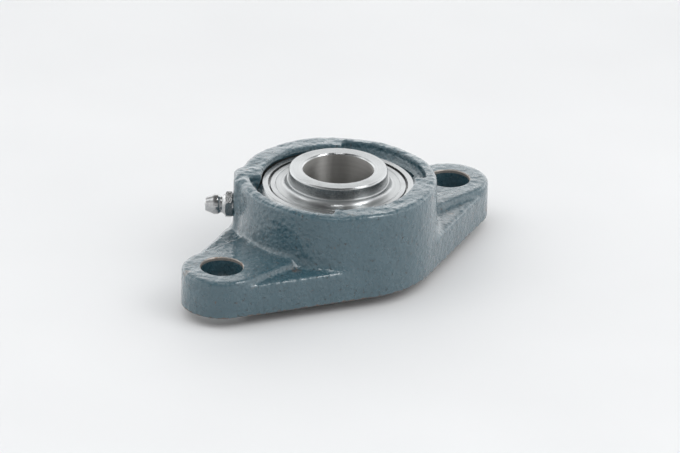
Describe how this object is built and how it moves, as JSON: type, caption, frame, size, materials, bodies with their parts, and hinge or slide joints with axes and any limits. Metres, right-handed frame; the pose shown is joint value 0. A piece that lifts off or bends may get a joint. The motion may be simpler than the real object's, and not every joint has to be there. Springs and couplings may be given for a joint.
{
  "type": "flange bearing unit",
  "caption": "Oval cast flange with a tilting, sealed insert ball bearing, bolt holes in its ears and a side grease fitting.",
  "frame": {"origin": "where the shaft's axis meets the plane of the mounting face", "axes": "+Z along the shaft, out of the mounting face; +X from the shaft to one bolt hole; +Y across the bolt line"},
  "size_m": [0.113, 0.0574, 0.031],
  "materials": {
    "enamelled_iron": "blue-grey enamel over sand-cast iron, glossy, with small pits",
    "ground_steel": "ground bearing steel, bright",
    "pressed_steel": "pressed and plated sheet, satin",
    "seal_steel": "phosphated sheet",
    "seal_rubber": "nitrile rubber, matt",
    "black_screw": "black oxide",
    "cage_steel": "pressed strip",
    "ball_steel": "lapped, mirror bright",
    "zinc_steel": "zinc plated, bright",
    "spring_steel": "drawn wire"
  },
  "bodies": {
    "housing": {"housing": "enamelled_iron", "fitting_body": "zinc_steel", "fitting_spring": "spring_steel"},
    "outer_ring": {"outer_ring": "ground_steel", "front_seal_shell": "seal_steel", "front_seal_lip": "seal_rubber", "rear_seal_shell": "seal_steel", "rear_seal_lip": "seal_rubber"},
    "inner_ring": {"inner_ring": "ground_steel", "front_flinger": "pressed_steel", "rear_flinger": "pressed_steel"},
    "cage": {"cage_front": "cage_steel", "cage_rear": "cage_steel", "cage_rivets": "cage_steel"},
    "set_screw_1": {"set_screw_1": "black_screw"},
    "set_screw_2": {"set_screw_2": "black_screw"},
    "fitting_ball": {"fitting_ball": "ball_steel"},
    "ball_1": {"ball_1": "ball_steel"},
    "ball_2": {"ball_2": "ball_steel"},
    "ball_3": {"ball_3": "ball_steel"},
    "ball_4": {"ball_4": "ball_steel"},
    "ball_5": {"ball_5": "ball_steel"},
    "ball_6": {"ball_6": "ball_steel"},
    "ball_7": {"ball_7": "ball_steel"},
    "ball_8": {"ball_8": "ball_steel"}
  },
  "joints": [
    {"name": "insert_tilt", "type": "hinge", "parent": "housing", "child": "outer_ring", "pos_m": [0, 0, 0.015], "axis": [0.7071, 0.7071, 0], "range_deg": [-3, 3]},
    {"name": "inner_spin", "type": "hinge", "parent": "outer_ring", "child": "inner_ring", "pos_m": [0, 0, 0.015], "axis": [0, 0, 1], "continuous": true},
    {"name": "cage_spin", "type": "hinge", "parent": "outer_ring", "child": "cage", "pos_m": [0, 0, 0.015], "axis": [0, 0, 1], "continuous": true},
    {"name": "ball_1_spin", "type": "hinge", "parent": "cage", "child": "ball_1", "pos_m": [0.01547, 0.00641, 0.015], "axis": [0, 0, 1], "continuous": true},
    {"name": "ball_2_spin", "type": "hinge", "parent": "cage", "child": "ball_2", "pos_m": [0.00641, 0.01547, 0.015], "axis": [0, 0, 1], "continuous": true},
    {"name": "ball_3_spin", "type": "hinge", "parent": "cage", "child": "ball_3", "pos_m": [-0.00641, 0.01547, 0.015], "axis": [0, 0, 1], "continuous": true},
    {"name": "ball_4_spin", "type": "hinge", "parent": "cage", "child": "ball_4", "pos_m": [-0.01547, 0.00641, 0.015], "axis": [0, 0, 1], "continuous": true},
    {"name": "ball_5_spin", "type": "hinge", "parent": "cage", "child": "ball_5", "pos_m": [-0.01547, -0.00641, 0.015], "axis": [0, 0, 1], "continuous": true},
    {"name": "ball_6_spin", "type": "hinge", "parent": "cage", "child": "ball_6", "pos_m": [-0.00641, -0.01547, 0.015], "axis": [0, 0, 1], "continuous": true},
    {"name": "ball_7_spin", "type": "hinge", "parent": "cage", "child": "ball_7", "pos_m": [0.00641, -0.01547, 0.015], "axis": [0, 0, 1], "continuous": true},
    {"name": "ball_8_spin", "type": "hinge", "parent": "cage", "child": "ball_8", "pos_m": [0.01547, -0.00641, 0.015], "axis": [0, 0, 1], "continuous": true},
    {"name": "set_screw_1_slide", "type": "slide", "parent": "inner_ring", "child": "set_screw_1", "axis": [0, -1, 0], "range_m": [-0.0002, 0.002]},
    {"name": "set_screw_2_slide", "type": "slide", "parent": "inner_ring", "child": "set_screw_2", "axis": [0.866, 0.5, 0], "range_m": [-0.0002, 0.002]},
    {"name": "check_ball_slide", "type": "slide", "parent": "housing", "child": "fitting_ball", "axis": [0.7071, -0.7071, 0], "range_m": [0, 0.001], "stiffness_N_per_m": 300, "springref_m": -0.0015, "deforming": ["fitting_spring"]}
  ],
  "couplings": [
    {"joint": "cage_spin", "follows": "inner_spin", "ratio": 0.38152},
    {"joint": "ball_1_spin", "follows": "inner_spin", "ratio": -1.9916},
    {"joint": "ball_2_spin", "follows": "inner_spin", "ratio": -1.9916},
    {"joint": "ball_3_spin", "follows": "inner_spin", "ratio": -1.9916},
    {"joint": "ball_4_spin", "follows": "inner_spin", "ratio": -1.9916},
    {"joint": "ball_5_spin", "follows": "inner_spin", "ratio": -1.9916},
    {"joint": "ball_6_spin", "follows": "inner_spin", "ratio": -1.9916},
    {"joint": "ball_7_spin", "follows": "inner_spin", "ratio": -1.9916},
    {"joint": "ball_8_spin", "follows": "inner_spin", "ratio": -1.9916}
  ]
}
